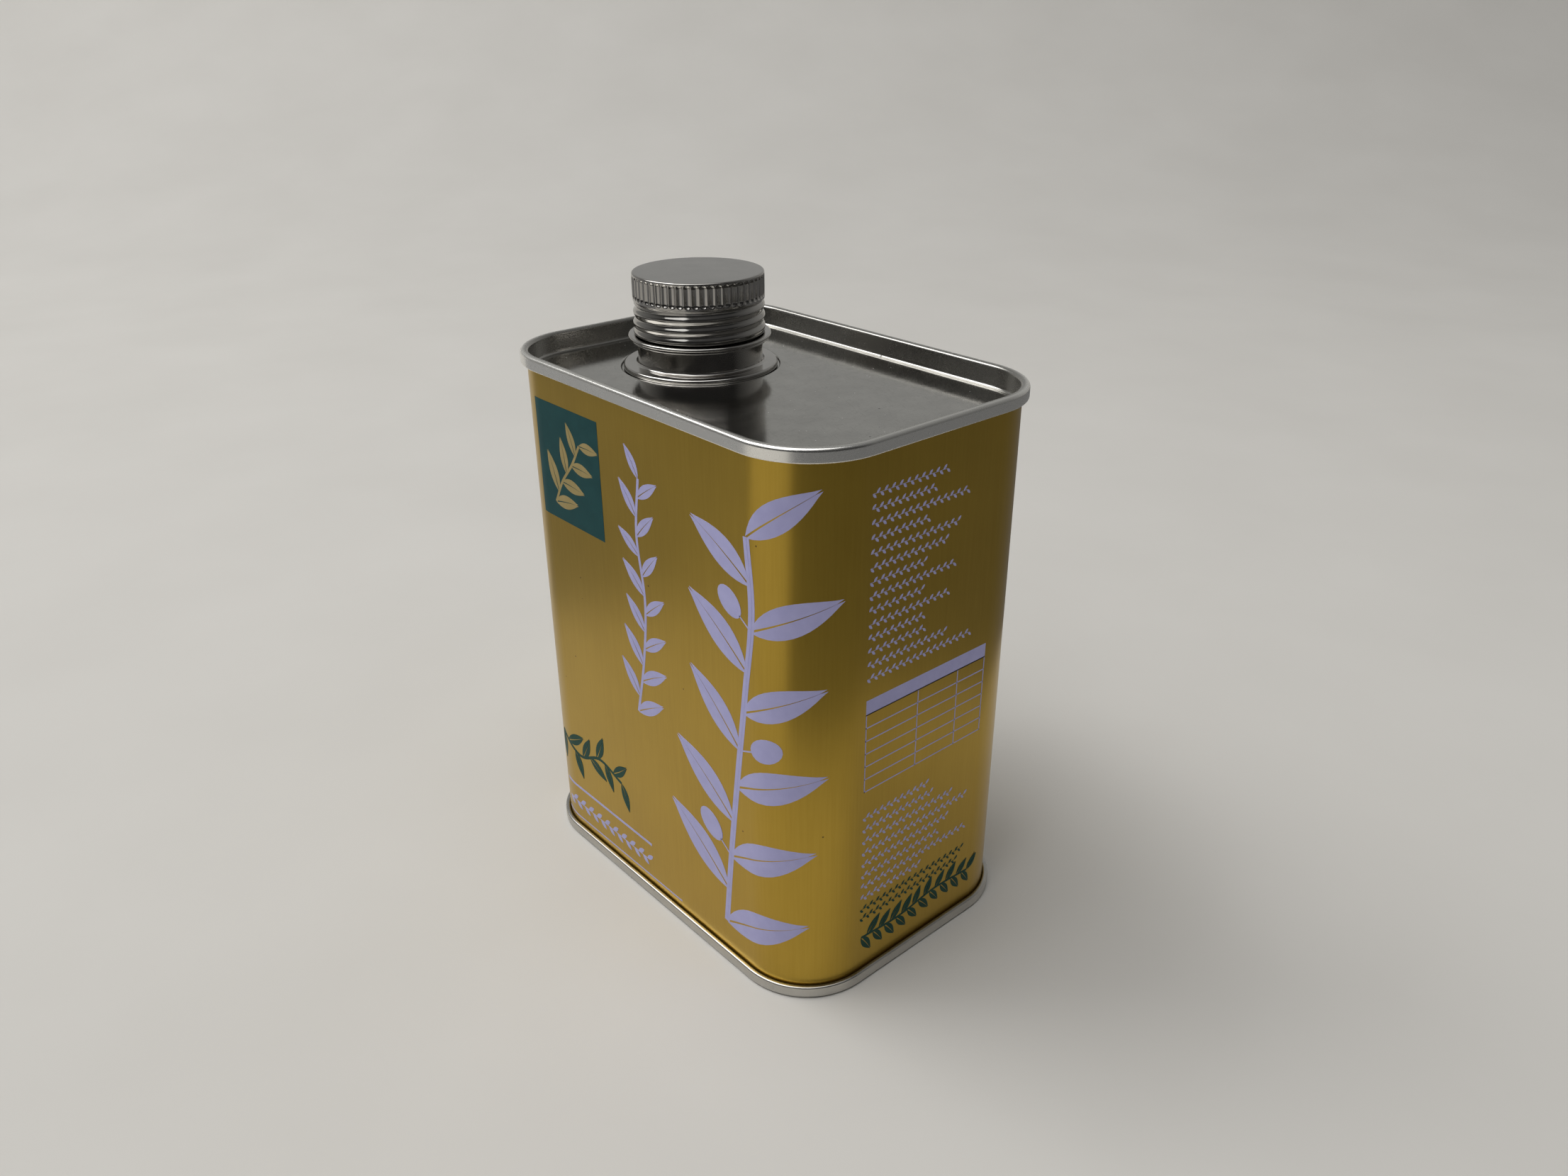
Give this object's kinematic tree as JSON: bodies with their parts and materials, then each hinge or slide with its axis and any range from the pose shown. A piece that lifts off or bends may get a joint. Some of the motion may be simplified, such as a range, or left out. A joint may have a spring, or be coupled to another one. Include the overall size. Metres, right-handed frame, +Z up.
{
  "type": "oil tin",
  "caption": "Rounded rectangular tinplate oil tin with double-seamed sunk ends, a beaded round metal neck, a pouring insert and a fluted metal screw cap.",
  "frame": {"origin": "centre of the base on the surface that the tin stands on", "axes": "+Z up along the tin's height; the broad front faces -Y; the neck stands towards -X"},
  "size_m": [0.0918, 0.0628, 0.125],
  "materials": {
    "gold_lacquer": "gold metallic lacquer on tinplate, semi-gloss",
    "tinplate": "bright rolled tinplate with fine scratches",
    "neck_steel": "polished tinplate",
    "cap_metal": "polished tinplate, satin top",
    "seam_compound": "matt sealing compound",
    "insert_plastic": "natural polyethylene",
    "liner_foam": "white foamed polyethylene"
  },
  "bodies": {
    "root": {"can_body": "gold_lacquer", "top_end": "tinplate", "bottom_end": "tinplate", "top_seam_compound": "seam_compound", "bottom_seam_compound": "seam_compound", "neck_spout": "neck_steel", "neck_gasket": "seam_compound", "pour_insert": "insert_plastic"},
    "liner": {"cap_liner": "liner_foam"},
    "cap": {"cap_shell": "cap_metal"}
  },
  "joints": [
    {"name": "cap_lift", "type": "slide", "parent": "root", "child": "liner", "axis": [0, 0, 1], "range_m": [0, 0.01261]},
    {"name": "cap_turn", "type": "hinge", "parent": "liner", "child": "cap", "pos_m": [-0.019, 0, 0.12], "axis": [0, 0, 1], "range_deg": [0, 2160]}
  ],
  "couplings": [
    {"joint": "cap_lift", "follows": "cap_turn", "m_per_rad": 0.00033423}
  ]
}
